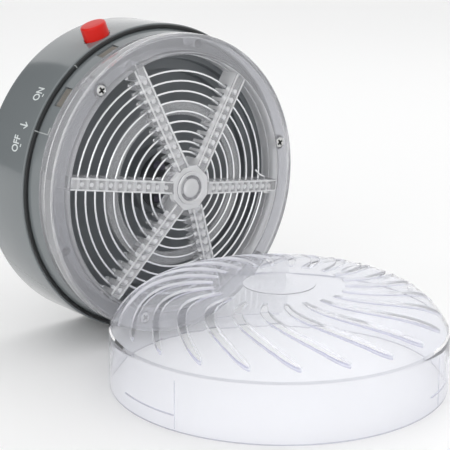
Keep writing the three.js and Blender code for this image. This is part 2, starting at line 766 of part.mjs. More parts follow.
function slottedCover() {
  const inner = coverRadius - coverWall;
  const domeShares = [0, 0.25, 0.5, 0.75];
  const domeRadii = domeShares.map((share) => coverRadius - (coverRadius - coverDiscRadius) * share);
  const outerDome = domeRadii.slice(1).map((radius) => [radius, domeHeightAt(radius)]);
  const innerDome = domeRadii.slice(1).map((radius) => [radius, domeHeightAt(radius) - coverWall]).reverse();
  const crown = coverWallHeight + coverWall / 2;
  const shell = turned([
    [inner, 0],
    [coverRadius, 0],
    [coverRadius, coverWallHeight - coverWall],
    [coverRadius - coverWall / 3, coverWallHeight - coverWall / 3],
    [coverRadius - coverWall, coverWallHeight + coverWall / 6],
    ...outerDome,
    [coverDiscRadius, domeHeightAt(coverDiscRadius)],
    [coverDiscRadius, coverHeight + coverDiscRise],
    [0, coverHeight + coverDiscRise],
    [0, coverHeight - coverWall],
    ...innerDome,
    [inner, crown - 2 * coverWall],
  ], coverSegments);
  const slot = pulled(slotOutline(), coverHeight).translate([0, 0, coverWallHeight - 2 * coverWall]);
  const slots = Array.from({ length: slotCount }, (_, i) => turn(slot, i * fullTurn / slotCount));
  const tab = turned([
    [inner - tabReach, tabHeight],
    [inner + coverWall / 2, tabHeight],
    [inner + coverWall / 2, tabHeight + tabThickness],
    [inner - tabReach, tabHeight + tabThickness],
  ], coverSegments);
  const reach = coverRadius + over;
  const wedge = pulled([[0, 0], [reach, -reach * Math.tan(tabSpanAngle / 2 * degree)],
    [reach, reach * Math.tan(tabSpanAngle / 2 * degree)]], coverHeight);
  const tabs = Array.from({ length: tabCount }, (_, i) => tab.intersect(turn(wedge, i * fullTurn / tabCount)));
  return cut(shell, slots).add(join(tabs));
}

const cover = new THREE.Group();
cover.position.set(coverAside, -(coverRadius + coverGap), 0);
piece(cover, 'slotted_cover', slottedCover(), clearPlastic);
model.add(cover);

// The origin goes to the middle of the footprint, on the floor.
const leftmost = Math.min(-bodyRadius, coverAside - coverRadius);
const rightmost = Math.max(bodyRadius, coverAside + coverRadius);
const nearest = -(2 * coverRadius + coverGap);
const farthest = -backZ;
model.position.set(-(leftmost + rightmost) / 2, -(nearest + farthest) / 2, 0);

export default model;
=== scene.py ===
import math
from types import SimpleNamespace

import bpy
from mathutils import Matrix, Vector


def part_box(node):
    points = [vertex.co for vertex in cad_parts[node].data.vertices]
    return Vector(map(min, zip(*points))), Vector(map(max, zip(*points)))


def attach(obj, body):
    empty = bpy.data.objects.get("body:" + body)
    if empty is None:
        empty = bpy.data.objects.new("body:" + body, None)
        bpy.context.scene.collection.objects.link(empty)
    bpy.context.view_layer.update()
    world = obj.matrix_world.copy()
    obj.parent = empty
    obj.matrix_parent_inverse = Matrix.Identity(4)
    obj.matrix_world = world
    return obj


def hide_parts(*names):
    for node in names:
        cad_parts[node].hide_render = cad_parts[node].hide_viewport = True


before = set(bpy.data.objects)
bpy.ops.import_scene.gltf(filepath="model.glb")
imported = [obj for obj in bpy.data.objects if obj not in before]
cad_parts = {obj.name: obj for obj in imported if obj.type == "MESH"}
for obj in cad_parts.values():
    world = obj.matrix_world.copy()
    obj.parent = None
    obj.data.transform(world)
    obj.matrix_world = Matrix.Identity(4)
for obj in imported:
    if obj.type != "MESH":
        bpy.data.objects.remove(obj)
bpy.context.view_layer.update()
print("frame loaded")

mm = 0.001
tau = 2 * math.pi


def inMm(**sizes):
    return {name: size * mm for name, size in sizes.items()}


# Edge roundings and small steps that many pieces share
edge = inMm(tiny=0.1, fine=0.2, small=0.3, soft=0.4, round=0.5)
# Points nearer to each other than this are merged
weld = {"outline": mm / 1000, "shell": mm / 500}

# Where the CAD puts the unit's axis, its front plane and the cover
unitPlace = {"hubRise": 11.2 * mm}        # the hub's nose in front of the frame's face
backLow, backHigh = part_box("back_cover")
frameLow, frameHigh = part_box("clear_frame")
coverLow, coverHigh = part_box("slotted_cover")
axisX = (backLow[0] + backHigh[0]) / 2
axisZ = (frameLow[2] + frameHigh[2]) / 2
frontY = frameLow[1] + unitPlace["hubRise"]
coverX = (coverLow[0] + coverHigh[0]) / 2
coverY = (coverLow[1] + coverHigh[1]) / 2


def deselectAll():
    if bpy.context.object and bpy.context.object.mode != 'OBJECT':
        bpy.ops.object.mode_set(mode='OBJECT')
    bpy.ops.object.select_all(action='DESELECT')


def selectMesh():
    bpy.ops.mesh.select_all(action='SELECT')


def makeActive(piece):
    deselectAll()
    piece.select_set(True)
    bpy.context.view_layer.objects.active = piece


def applyAll(piece):
    makeActive(piece)
    bpy.ops.object.transform_apply(location=True, rotation=True, scale=True)


def polarPoint(radius, degrees, height):
    return (radius * math.cos(math.radians(degrees)), radius * math.sin(math.radians(degrees)), height)


def span(middle, size):
    return (middle - size / 2, middle + size / 2)


def roundOff(corners, steps=4):
    # corners are (radius, height, rounding or its name in edge) and each one becomes a small arc
    points = []
    for i, (x, z, amount) in enumerate(corners):
        amount = edge.get(amount, amount)
        here = Vector((x, z))
        if not amount:
            points.append((x, z))
            continue
        before = Vector(corners[i - 1][:2])
        after = Vector(corners[(i + 1) % len(corners)][:2])
        a = here + (before - here).normalized() * amount
        b = here + (after - here).normalized() * amount
        for k in range(steps + 1):
            t = k / steps
            point = a * (1 - t) ** 2 + here * 2 * t * (1 - t) + b * t ** 2
            points.append((point.x, point.y))
    return points


def drawOutline(name, points):
    # one vertex is put down and pulled along the closed outline in the XZ plane
    deselectAll()
    here = Vector((points[0][0], 0, points[0][1]))
    bpy.ops.mesh.primitive_plane_add(size=mm, location=here)
    piece = bpy.context.object
    piece.name = name
    piece.data.name = name
    bpy.ops.object.transform_apply(location=True)
    bpy.ops.object.mode_set(mode='EDIT')
    selectMesh()
    bpy.ops.mesh.merge(type='CENTER')
    for x, z in [*points[1:], points[0]]:
        there = Vector((x, 0, z))
        bpy.ops.mesh.extrude_vertices_move(TRANSFORM_OT_translate={"value": there - here})
        here = there
    selectMesh()
    bpy.ops.mesh.remove_doubles(threshold=weld["outline"])
    return piece


def faceOutwards():
    selectMesh()
    bpy.ops.mesh.normals_make_consistent(inside=False)
    bpy.ops.object.mode_set(mode='OBJECT')


def spunPiece(name, points, steps):
    piece = drawOutline(name, points)
    selectMesh()
    bpy.ops.mesh.spin(steps=steps, angle=tau, center=(0, 0, 0), axis=(0, 0, 1))
    selectMesh()
    bpy.ops.mesh.remove_doubles(threshold=weld["shell"])
    faceOutwards()
    return piece


def pulledPiece(name, points, start, length):
    # an outline in the XZ plane, filled and pulled along y
    piece = drawOutline(name, points)
    selectMesh()
    bpy.ops.mesh.edge_face_add()
    bpy.ops.transform.translate(value=(0, start, 0))
    bpy.ops.mesh.extrude_region_move(TRANSFORM_OT_translate={"value": (0, length, 0)})
    faceOutwards()
    return piece


def slabPiece(name, points, width):
    return pulledPiece(name, points, -width / 2, width)


def standingPrism(name, outline, low, high):
    # an outline in the XY plane pulled from one height to another
    piece = pulledPiece(name, outline, 0, low - high)
    piece.rotation_euler = (-math.pi / 2, 0, 0)
    piece.location = (0, 0, low)
    applyAll(piece)
    return piece


def cylinderPiece(name, radius, low, high, sides=48):
    deselectAll()
    bpy.ops.mesh.primitive_cylinder_add(vertices=sides, radius=radius, depth=high - low,
                                        location=(0, 0, (low + high) / 2))
    piece = bpy.context.object
    piece.name = name
    applyAll(piece)
    return piece


def boxPiece(name, low, high):
    deselectAll()
    bpy.ops.mesh.primitive_cube_add(size=1, location=[(h + l) / 2 for l, h in zip(low, high)])
    piece = bpy.context.object
    piece.name = name
    piece.scale = [h - l for l, h in zip(low, high)]
    applyAll(piece)
    return piece


def barPiece(name, reach, width, heights):
    # a box from one reach to the other along x, centred on y
    return boxPiece(name, (reach[0], -width / 2, heights[0]), (reach[1], width / 2, heights[1]))


def turned(piece, radius, degrees):
    # moves a piece out along x and turns it to its place round the axis
    piece.location = polarPoint(radius, degrees, 0)
    piece.rotation_euler = (0, 0, math.radians(degrees))
    applyAll(piece)
    return piece


def joined(name, pieces):
    deselectAll()
    for piece in pieces:
        piece.select_set(True)
    bpy.context.view_layer.objects.active = pieces[0]
    bpy.ops.object.join()
    pieces[0].name = name
    return pieces[0]


def dropPiece(piece):
    mesh = piece.data
    bpy.data.objects.remove(piece)
    bpy.data.meshes.remove(mesh)


def repeatedRound(name, piece, angles):
    # turned copies of a piece, joined into one that takes its place
    copies = []
    for angle in angles:
        copy = piece.copy()
        copy.data = piece.data.copy()
        bpy.context.collection.objects.link(copy)
        copies.append(turned(copy, 0, angle))
    ring = joined(name, copies)
    dropPiece(piece)
    return ring


def combine(piece, tool, operation):
    modifier = piece.modifiers.new(operation.lower(), 'BOOLEAN')
    modifier.operation = operation
    modifier.object = tool
    modifier.solver = 'EXACT'
    makeActive(piece)
    bpy.ops.object.modifier_apply(modifier=modifier.name)
    dropPiece(tool)


def combineRound(piece, operation, name, radius, low, high, circle, degrees):
    # a round boss or hole at its place round the axis
    combine(piece, turned(cylinderPiece(name, radius, low, high), circle, degrees), operation)


def soften(piece, amount, segments=2, angle=40):
    modifier = piece.modifiers.new("bevel", 'BEVEL')
    modifier.width = edge.get(amount, amount)
    modifier.segments = segments
    modifier.limit_method = 'ANGLE'
    modifier.angle_limit = math.radians(angle)
    makeActive(piece)
    bpy.ops.object.modifier_apply(modifier=modifier.name)


def finishPiece(piece, finishNames, slot, *stands, body="unit", smooth=30):
    # every piece is made upright on z, and those of the unit are then turned to face the front
    if body == "cover":
        piece.location = (coverX, coverY, 0)
    else:
        piece.rotation_euler = (math.pi / 2, 0, 0)
        piece.location = (axisX, frontY, axisZ)
    applyAll(piece)
    if smooth:
        bpy.ops.object.shade_smooth_by_angle(angle=math.radians(smooth))
    piece.data.materials.clear()
    for name in finishNames:
        piece.data.materials.append(finishes[name])
    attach(piece, body)
    if stands:
        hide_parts(*stands)


# What a finish has where its own row says nothing
plainLook = {
    "tones": ((0.5, 0.5, 0.5), (0.4, 0.4, 0.4)), "toneSize": 25, "rough": (0.3, 0.45), "grainSize": 900,
    "grainDepth": 0.1, "metal": 0, "ior": 1.46, "clear": 0, "coat": 0, "coatRough": 0.08, "tint": None,
    "lightThrough": 0,
}

# Shared node groups
groupSet = {"grainDetail": 3, "broadSize": 45, "bumpReach": 0.2 * mm, "toneDetail": 2}


def newGroup(name, inputs, outputs):
    group = bpy.data.node_groups.new(name, 'ShaderNodeTree')
    for label, kind, value in inputs:
        socket = group.interface.new_socket(name=label, in_out='INPUT', socket_type=kind)
        socket.default_value = value
    for label, kind in outputs:
        group.interface.new_socket(name=label, in_out='OUTPUT', socket_type=kind)
    return group, group.nodes.new('NodeGroupInput'), group.nodes.new('NodeGroupOutput')


def linkAll(tree, rows):
    # rows are (node, its output, node, its input)
    for source, output, target, socket in rows:
        tree.links.new(source.outputs[output], target.inputs[socket])


def setSockets(node, values):
    for label, value in values.items():
        node.inputs[label].default_value = value


def buildGrainGroup():
    # fine moulded grain: a roughness that wanders a little and a very shallow bump
    low, high = plainLook["rough"]
    group, given, result = newGroup(
        "mouldedGrain",
        [("Grain Size", 'NodeSocketFloat', plainLook["grainSize"]),
         ("Depth", 'NodeSocketFloat', plainLook["grainDepth"]),
         ("Low Roughness", 'NodeSocketFloat', low), ("High Roughness", 'NodeSocketFloat', high)],
        [("Roughness", 'NodeSocketFloat'), ("Normal", 'NodeSocketVector')])
    add = group.nodes.new
    place = add('ShaderNodeTexCoord')
    fine = add('ShaderNodeTexNoise')
    broad = add('ShaderNodeTexNoise')
    spread = add('ShaderNodeMapRange')
    bump = add('ShaderNodeBump')
    setSockets(fine, {"Detail": groupSet["grainDetail"]})
    setSockets(broad, {"Scale": groupSet["broadSize"]})
    setSockets(bump, {"Distance": groupSet["bumpReach"]})
    linkAll(group, [
        (place, 'Object', fine, 'Vector'), (place, 'Object', broad, 'Vector'),
        (given, 'Grain Size', fine, 'Scale'), (broad, 'Fac', spread, 'Value'),
        (given, 'Low Roughness', spread, 'To Min'), (given, 'High Roughness', spread, 'To Max'),
        (given, 'Depth', bump, 'Strength'), (fine, 'Fac', bump, 'Height'),
        (spread, 'Result', result, 'Roughness'), (bump, 'Normal', result, 'Normal')])
    return group


def buildToneGroup():
    # a colour that drifts gently between two tones
    first, second = plainLook["tones"]
    group, given, result = newGroup(
        "toneDrift",
        [("First", 'NodeSocketColor', (*first, 1)), ("Second", 'NodeSocketColor', (*second, 1)),
         ("Size", 'NodeSocketFloat', plainLook["toneSize"])],
        [("Color", 'NodeSocketColor')])
    add = group.nodes.new
    place = add('ShaderNodeTexCoord')
    noise = add('ShaderNodeTexNoise')
    mix = add('ShaderNodeMix')
    mix.data_type = 'RGBA'
    setSockets(noise, {"Detail": groupSet["toneDetail"]})
    # a colour Mix node has its two colours at inputs 6 and 7 and its result at output 2
    linkAll(group, [
        (place, 'Object', noise, 'Vector'), (given, 'Size', noise, 'Scale'), (noise, 'Fac', mix, 0),
        (given, 'First', mix, 6), (given, 'Second', mix, 7), (mix, 2, result, 'Color')])
    return group


grainGroup = buildGrainGroup()
toneGroup = buildToneGroup()


def newMaterial(name, look):
    first, second = look["tones"]
    low, high = look["rough"]
    material = bpy.data.materials.new(name)
    material.use_nodes = True
    tree = material.node_tree
    add = tree.nodes.new
    shader = tree.nodes['Principled BSDF']
    output = tree.nodes['Material Output']
    tone = add('ShaderNodeGroup')
    tone.node_tree = toneGroup
    setSockets(tone, {"First": (*first, 1), "Second": (*second, 1), "Size": look["toneSize"]})
    grain = add('ShaderNodeGroup')
    grain.node_tree = grainGroup
    setSockets(grain, {"Grain Size": look["grainSize"], "Depth": look["grainDepth"],
                       "Low Roughness": low, "High Roughness": high})
    linkAll(tree, [(tone, 'Color', shader, 'Base Color'), (grain, 'Roughness', shader, 'Roughness'),
                   (grain, 'Normal', shader, 'Normal')])
    setSockets(shader, {"Metallic": look["metal"], "IOR": look["ior"], "Transmission Weight": look["clear"]})
    if look["coat"]:
        setSockets(shader, {"Coat Weight": look["coat"], "Coat Roughness": look["coatRough"]})
    if look["tint"]:
        # the plastic colours the light more the longer its way through it is
        depthTint = add('ShaderNodeVolumeAbsorption')
        setSockets(depthTint, {"Color": (*look["tint"], 1), "Density": look["tintDensity"]})
        linkAll(tree, [(depthTint, 'Volume', output, 'Volume')])
    if look["lightThrough"]:
        # light passes a clear piece instead of leaving a black shadow behind it
        path = add('ShaderNodeLightPath')
        through = add('ShaderNodeBsdfTransparent')
        blend = add('ShaderNodeMixShader')
        amount = add('ShaderNodeMath')
        amount.operation = 'MULTIPLY'
        amount.inputs[1].default_value = look["lightThrough"]
        linkAll(tree, [(path, 'Is Shadow Ray', amount, 0), (amount, 'Value', blend, 'Fac'),
                       (shader, 'BSDF', blend, 1), (through, 'BSDF', blend, 2),
                       (blend, 'Shader', output, 'Surface')])
    return material


def look(first, second, rough, **rest):
    # two tones, a span of roughness, and whatever differs from the plain look
    return {**plainLook, "tones": (first, second), "rough": rough, **rest}


frameLook = {"grainSize": 500, "grainDepth": 0.03, "ior": 1.42, "lightThrough": 0.6}
coverLook = {"grainSize": 200, "grainDepth": 0.02}
looks = {
    "housingGrey": look((0.165, 0.182, 0.189), (0.184, 0.202, 0.209), (0.13, 0.18), grainSize=1400,
                        grainDepth=0.035, coat=0.4),
    "edgeGrey": look((0.36, 0.38, 0.38), (0.42, 0.44, 0.44), (0.3, 0.4), grainDepth=0.05),
    "padBrown": look((0.2, 0.188, 0.172), (0.28, 0.262, 0.235), (0.3, 0.45)),
    "sealBlack": look((0.012, 0.014, 0.015), (0.02, 0.021, 0.022), (0.45, 0.6)),
    "trayDark": look((0.12, 0.131, 0.14), (0.145, 0.157, 0.166), (0.32, 0.5), grainDepth=0.15),
    "buttonRed": look((0.58, 0.008, 0.004), (0.66, 0.012, 0.006), (0.26, 0.36), grainDepth=0.05, ior=1.33),
    "frameClear": look((0.68, 0.685, 0.715), (0.74, 0.745, 0.77), (0.02, 0.06), **frameLook, clear=0.8),
    # the next two rows are lighter copies of the frame's clear plastic: painted light for the spokes and
    # outer wall, and a whiter painted highlight for rails, beads, notches, hub and inner wall
    "spokeClearPaintedLight": look((0.86, 0.865, 0.88), (0.9, 0.905, 0.92), (0.015, 0.05), **frameLook, clear=0.8),
    "spokeEdgePaintedHighlight": look((0.93, 0.935, 0.95), (0.96, 0.965, 0.975), (0.03, 0.08), **frameLook, clear=0.5),
    "coverClear": look((0.905, 0.91, 0.93), (0.92, 0.925, 0.945), (0.005, 0.02), **coverLook, clear=0.9,
                       ior=1.14, lightThrough=0.92, tint=(0.8, 0.8, 0.9), tintDensity=40),
    # the next two rows are copies of the cover's clear plastic: a whiter one with painted highlights for the
    # cut edges, and a darker lavender one with painted shade for the lines at shoulder, foot, tabs and seams
    "coverEdgePaintedHighlight": look((0.93, 0.935, 0.975), (0.96, 0.965, 0.99), (0.08, 0.16), **coverLook, clear=0.6,
                      ior=1.1, lightThrough=0.9),
    "coverPaintedShadeLine": look((0.72, 0.72, 0.78), (0.78, 0.78, 0.84), (0.08, 0.16), **coverLook, clear=0.78,
                      ior=1.1, lightThrough=0.9),
    "brightSteel": look((0.78, 0.79, 0.8), (0.86, 0.87, 0.88), (0.14, 0.26), metal=1, grainSize=2500,
                        grainDepth=0.05),
    "slotShade": look((0.05, 0.05, 0.05), (0.08, 0.08, 0.08), (0.4, 0.55), metal=1),
    "screwSteel": look((0.62, 0.62, 0.62), (0.74, 0.74, 0.73), (0.22, 0.36), metal=1),
    "boardGreen": look((0.015, 0.1, 0.04), (0.02, 0.13, 0.05), (0.3, 0.45), toneSize=300),
    "cellBlue": look((0.02, 0.1, 0.36), (0.025, 0.12, 0.42), (0.25, 0.35)),
    "ferriteBlack": look((0.03, 0.03, 0.033), (0.05, 0.05, 0.052), (0.5, 0.7), grainDepth=0.3),
    "capacitorBlue": look((0.01, 0.07, 0.4), (0.015, 0.09, 0.46), (0.3, 0.42)),
    "lampSmoke": look((0.14, 0.13, 0.18), (0.2, 0.19, 0.24), (0.04, 0.1), clear=0.4),
    "lampBoardBlack": look((0.035, 0.038, 0.042), (0.05, 0.054, 0.058), (0.35, 0.5)),
    "plungerWhite": look((0.74, 0.74, 0.71), (0.8, 0.8, 0.77), (0.4, 0.5)),
    "legendGrey": look((0.62, 0.66, 0.66), (0.68, 0.72, 0.72), (0.5, 0.6)),
}
finishes = {name: newMaterial(name, row) for name, row in looks.items()}
print("materials made")

# Carried-over CAD nodes keep their shape and get their finish
carriedLooks = {
    "grid_terminal": "screwSteel", "lamp_board": "lampBoardBlack", "main_board": "boardGreen",
    "hv_transformer": "ferriteBlack", "hv_capacitor": "capacitorBlue", "charge_socket": "screwSteel",
    "cell_cradle": "trayDark", "battery_cell": "cellBlue", "switch_plunger": "plungerWhite",
    "push_switch": "ferriteBlack", "uv_lamp": "lampSmoke", "board_screw": "screwSteel",
}
for nodeName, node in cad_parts.items():
    for start, finish in carriedLooks.items():
        if nodeName.startswith(start):
            node.data.materials.clear()
            node.data.materials.append(finishes[finish])

# Camera, at the photograph's place
cameraSet = {
    "place": (-404.2 * mm, -479.6 * mm, 231.8 * mm),
    "down": 0.254,               # radians below the horizon
    "aside": 0.687,              # radians to the right of +Y
    "lens": 107.85, "sensor": 36,
}
cameraData = bpy.data.cameras.new("photoCamera")
cameraData.lens = cameraSet["lens"]
cameraData.sensor_width = cameraSet["sensor"]
camera = bpy.data.objects.new("photoCamera", cameraData)
camera.location = cameraSet["place"]
camera.rotation_euler = (math.pi / 2 - cameraSet["down"], 0, -cameraSet["aside"])
bpy.context.collection.objects.link(camera)
bpy.context.scene.camera = camera
bpy.context.scene.view_settings.view_transform = 'Standard'

# Barrel of the housing, with its collar, button opening and foot
barrel = {
    **inMm(radius=80, rim=-20.3, back=-56.8, wall=2.5, backRound=1.6, rimRound=0.7, collarRadius=76,
           collarRoot=77.5, collarFront=-11.8, seat=-54.0, seatWidth=3, seatHigh=2, foot=0.6, footPast=2,
           cutIn=5, cutOut=3, buttonMiddle=-28.9, buttonHole=6.9, recessDepth=1, recessUp=3,
           socketMiddle=-35.3, socketRound=1.2),
    "steps": 180, "smoothAngle": 28, "buttonAngle": 111, "buttonSides": 72,
    "buttonKey": (15.4 * mm, 2.6 * mm), "recessAngles": (115, 140), "recessSize": (5 * mm, 11 * mm),
    "socketSize": (9.6 * mm, 3.8 * mm),
}


def alongButton(piece):
    # a piece made on z is laid along the button's axis, which points out of the barrel
    piece.rotation_euler = (0, math.pi / 2, 0)
    piece.location = (0, 0, barrel["buttonMiddle"])
    applyAll(piece)
    return turned(piece, 0, barrel["buttonAngle"])


def makeHousing():
    b = SimpleNamespace(**barrel)
    inner = b.radius - b.wall
    collarInner = b.collarRadius - b.wall
    step = b.rim - b.wall
    seatTop = b.seat + b.seatHigh
    seatInner = inner - b.seatWidth
    piece = spunPiece("housingShell", roundOff([
        (b.radius, b.back, b.backRound), (b.radius, b.rim, b.rimRound),
        (b.collarRoot, b.rim, 0), (b.collarRadius, b.collarFront, "soft"),
        (collarInner, b.collarFront, "small"), (collarInner, step, 0), (inner, step, 0),
        (inner, seatTop, 0), (seatInner, seatTop, 0), (seatInner, b.seat, 0), (inner, b.seat, 0),
        (inner, b.back, "soft")]), b.steps)
    outside = b.radius + b.cutOut
    hole = cylinderPiece("buttonHole", b.buttonHole, inner - b.cutIn, outside, b.buttonSides)
    keyLong, keyWide = b.buttonKey
    key = barPiece("buttonKey", (inner - b.cutIn, outside), keyLong, span(b.buttonMiddle, keyWide))
    soften(key, "small")
    tools = [alongButton(hole), turned(key, 0, b.buttonAngle)]
    recessMiddle = (b.rim + b.recessUp + b.collarFront) / 2
    recessHigh, recessWide = b.recessSize
    for angle in b.recessAngles:
        recess = barPiece("collarRecess", (b.collarRadius - b.recessDepth, b.radius), recessWide,
                          span(recessMiddle, recessHigh))
        tools.append(turned(recess, 0, angle))
    socketWide, socketHigh = b.socketSize
    socket = barPiece("socketHole", (inner - b.cutOut, outside), socketWide,
                      span(b.socketMiddle, socketHigh))
    soften(socket, b.socketRound, 4)
    tools.append(socket)
    # the lowest y becomes the bottom when the unit is turned, and the flat foot is cut there
    tools.append(boxPiece("footCut", (-b.radius, -b.radius - b.cutIn, b.back - b.cutIn),
                          (b.radius, -b.radius + b.foot, b.rim + b.footPast)))
    for tool in tools:
        combine(piece, tool, 'DIFFERENCE')
    finishPiece(piece, ["housingGrey"], "grey_plastic", "housing", smooth=b.smoothAngle)


makeHousing()
print("housing made")

# Dark seal between the rim and the collar
seal = {**inMm(inner=77.6, outer=79.3, back=-20.0, front=-18.7), "steps": 160}
sealPiece = spunPiece("sealRing", roundOff([
    (seal["inner"], seal["back"], 0), (seal["outer"], seal["back"], "soft"),
    (seal["outer"], seal["front"], "round"), (seal["inner"], seal["front"], "small")]), seal["steps"])
finishPiece(sealPiece, ["sealBlack"], "black_rubber", "seal_ring")

# Light moulded lines of the collar and the ribbed pads in its two recesses
collarTrim = {
    **inMm(proud=0.25, line=0.55, lineFront=-12.2, hookWide=3.6, tickProud=0.15, fineRound=0.12,
           padWide=10.4, padLow=75.1, padHigh=75.6, padBack=-16.9, padFront=-12.3, padRound=0.15,
           ribRise=0.4, ribWide=9.6),
    "longAngle": 155, "hookAngle": 153.7, "tickAngles": (127.5, 155), "ribs": 4,
}


def collarRadiusAt(depth):
    share = (depth - barrel["rim"]) / (barrel["collarFront"] - barrel["rim"])
    return barrel["collarRoot"] + (barrel["collarRadius"] - barrel["collarRoot"]) * share


def collarLine(name, back, front, wide, degrees):
    proud = collarTrim["proud"]
    a = collarRadiusAt(back)
    b = collarRadiusAt(front)
    outline = [(a - proud, back), (a + proud, back), (b + proud, front), (b - proud, front)]
    return turned(slabPiece(name, outline, wide), 0, degrees)


def makeCollarTrim():
    t = SimpleNamespace(**collarTrim)
    lines = [collarLine("collarLine", seal["front"], t.lineFront, t.line, t.longAngle),
             collarLine("collarHook", t.lineFront - t.line, t.lineFront, t.hookWide,
                        t.hookAngle)]
    for angle in t.tickAngles:
        tick = barPiece("sealTick", (seal["inner"] + edge["tiny"], seal["outer"] + t.tickProud), t.line,
                        (seal["back"] + edge["tiny"], seal["front"] + t.tickProud))
        soften(tick, t.fineRound)
        lines.append(turned(tick, 0, angle))
    piece = joined("collarLines", lines)
    finishPiece(piece, ["edgeGrey"], "grey_plastic", smooth=0)
    pitch = (t.padFront - t.padBack) / t.ribs
    for i, angle in enumerate(barrel["recessAngles"]):
        pad = barPiece("padBase", (t.padLow, t.padHigh), t.padWide, (t.padBack, t.padFront))
        soften(pad, t.padRound)
        for k in range(t.ribs):
            middle = t.padBack + (k + 0.5) * pitch
            rib = barPiece("padRib", (t.padHigh - edge["tiny"], t.padHigh + t.ribRise), t.ribWide,
                           span(middle, pitch / 2))
            soften(rib, t.fineRound)
            combine(pad, rib, 'UNION')
        pad.name = f"recessPad{i + 1}"
        finishPiece(turned(pad, 0, angle), ["padBrown"], "dark_plastic", smooth=0)


makeCollarTrim()
print("collar trim made")

# Where the screws of the back and of the clear frame stand
screwPlace = {"circle": 69.8 * mm, "angles": (11, 131, 251), "headHole": 3.1 * mm}

# Back cover, recessed into the barrel, with its three screws
backPlate = {
    **inMm(radius=77.2, outer=-56.8, thick=2.5, rimInner=62, panel=61, panelDeep=0.6, headSeat=2.2,
           cutOut=2),
    "steps": 160,
}


def makeBackCover():
    b = SimpleNamespace(**backPlate)
    inside = b.outer + b.thick
    panel = b.outer + b.panelDeep
    piece = spunPiece("backCoverPlate", roundOff([
        (0, inside, 0), (b.radius, inside, 0), (b.radius, b.outer, "round"),
        (b.rimInner, b.outer, "round"), (b.panel, panel, "soft"), (0, panel, 0)]),
        b.steps)
    for angle in screwPlace["angles"]:
        combineRound(piece, 'DIFFERENCE', "headHole", screwPlace["headHole"], b.outer - b.cutOut,
                     b.outer + b.headSeat, screwPlace["circle"], angle)
    finishPiece(piece, ["housingGrey"], "grey_plastic", "back_cover")


makeBackCover()
print("back made")

# Dark tray behind the grid
tray = {
    **inMm(flange=73.2, front=-12.3, flangeThick=2.2, inner=63, wall=2, ledge=-16.3, ledgeRadius=57,
           floor=-21.3, pedestal=18, pedestalTop=-14.3, bend=1, floorBend=1.2, ledgeBend=0.8,
           frontBend=0.6),
    "steps": 144,
}


def makeTray():
    t = SimpleNamespace(**tray)
    floorBack = t.floor - t.wall
    ledgeBack = t.ledge - t.wall
    topBack = t.pedestalTop - t.wall
    flangeBack = t.front - t.flangeThick
    piece = spunPiece("reflectorTray", roundOff([
        (0, t.pedestalTop, 0), (t.pedestal, t.pedestalTop, t.bend),
        (t.pedestal, t.floor, t.bend), (t.ledgeRadius, t.floor, t.floorBend),
        (t.ledgeRadius, t.ledge, t.ledgeBend), (t.inner, t.ledge, t.bend),
        (t.inner, t.front, t.frontBend), (t.flange, t.front, "small"),
        (t.flange, flangeBack, 0), (t.inner + t.wall, flangeBack, 0),
        (t.inner + t.wall, ledgeBack, 0), (t.ledgeRadius + t.wall, ledgeBack, 0),
        (t.ledgeRadius + t.wall, floorBack, 0), (t.pedestal - t.wall, floorBack, 0),
        (t.pedestal - t.wall, topBack, 0), (0, topBack, 0)]), t.steps)
    finishPiece(piece, ["trayDark"], "dark_plastic", "reflector_base")


makeTray()
print("tray made")

# Grid wires, two spirals on one shallow cone, one wire's tail lifted over the other
gridWire = {
    **inMm(radius=0.6, pitch=5, topRadius=57.83, rimDepth=-3.1, tailLift=1.8, tailEase=0.6, tailOut=1.8),
    "topAngle": 90, "rise": 0.169, "steps": 72, "resolution": 4, "smoothAngle": 50, "ends": (231.5, 351.5),
    "turns": (29 / 6, 28 / 6), "lead": 5, "tailTurns": (3, 4.5, 6, 9),
}
wireStarts = (gridWire["topRadius"], gridWire["topRadius"] - gridWire["pitch"])


def wireRadiusAt(start, degrees):
    return start + 2 * gridWire["pitch"] * (degrees - gridWire["topAngle"]) / 360


def wireHeightAt(radius):
    return gridWire["rimDepth"] + gridWire["rise"] * (gridWire["topRadius"] - radius)


def wirePoint(start, degrees):
    radius = wireRadiusAt(start, degrees)
    return polarPoint(radius, degrees, wireHeightAt(radius))


def spiralPoints(start, endAngle, turns):
    steps = gridWire["steps"]
    count = round(turns * steps) + 1
    return [wirePoint(start, endAngle - turns * 360 + i * 360 / steps) for i in range(count)]


def tailPoints(endAngle):
    # up from its own spiral, over the outermost turn of the other wire and down beside it
    leave, climb, over, land = [endAngle + turn for turn in gridWire["tailTurns"]]
    ease = gridWire["tailEase"]
    leaveRadius = wireRadiusAt(wireStarts[1], leave)
    overRadius = wireRadiusAt(wireStarts[0], over - 360)
    landRadius = wireRadiusAt(wireStarts[1], land - 360) + gridWire["tailOut"]
    top = wireHeightAt(overRadius) + gridWire["tailLift"]
    return [wirePoint(wireStarts[1], leave),
            polarPoint((leaveRadius + overRadius) / 2 + ease, climb, top),
            polarPoint(overRadius - ease, over, top),
            polarPoint(landRadius, land, wireHeightAt(landRadius) + ease)]


def makeWire(name, points, node):
    curve = bpy.data.curves.new(name, 'CURVE')
    curve.dimensions = '3D'
    curve.bevel_depth = gridWire["radius"]
    curve.bevel_resolution = gridWire["resolution"]
    curve.use_fill_caps = True
    line = curve.splines.new('POLY')
    line.points.add(len(points) - 1)
    for knot, point in zip(line.points, points):
        knot.co = (*point, 1)
    piece = bpy.data.objects.new(name, curve)
    bpy.context.collection.objects.link(piece)
    makeActive(piece)
    bpy.ops.object.convert(target='MESH')
    finishPiece(bpy.context.object, ["brightSteel"], "steel", node, smooth=gridWire["smoothAngle"])


